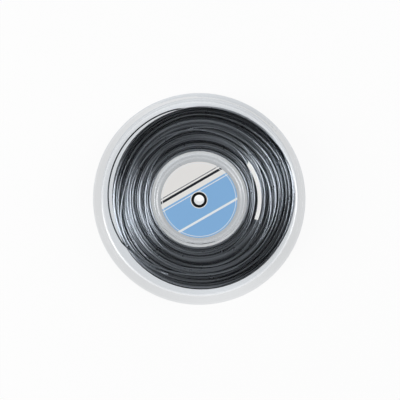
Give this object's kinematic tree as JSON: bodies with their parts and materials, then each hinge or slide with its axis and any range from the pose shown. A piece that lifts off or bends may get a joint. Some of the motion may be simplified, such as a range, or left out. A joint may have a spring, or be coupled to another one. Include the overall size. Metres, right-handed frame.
{
  "type": "string reel",
  "caption": "Clear flanged spool wound with dark racket string, with a round printed label on its hub cap and a hole for an axle.",
  "frame": {"origin": "on the axle's axis, at the rear rim that the reel lies on", "axes": "+Z along the axle, out of the label; +Y up in the front view; +X to the right in the front view"},
  "size_m": [0.19, 0.19, 0.04],
  "materials": {
    "clear_plastic": "clear moulded plastic, polished",
    "milky_plastic": "milky moulded plastic, satin",
    "label_film": "printed film, satin",
    "white_film": "white film, matte",
    "string": "dark grey extruded string, satin"
  },
  "bodies": {
    "root": {"front_flange": "clear_plastic", "rear_flange": "clear_plastic", "hub_barrel": "milky_plastic", "front_label": "label_film", "marker_strip": "white_film", "string_winding": "string", "loose_outer_turn": "string", "string_start": "string"}
  },
  "joints": []
}
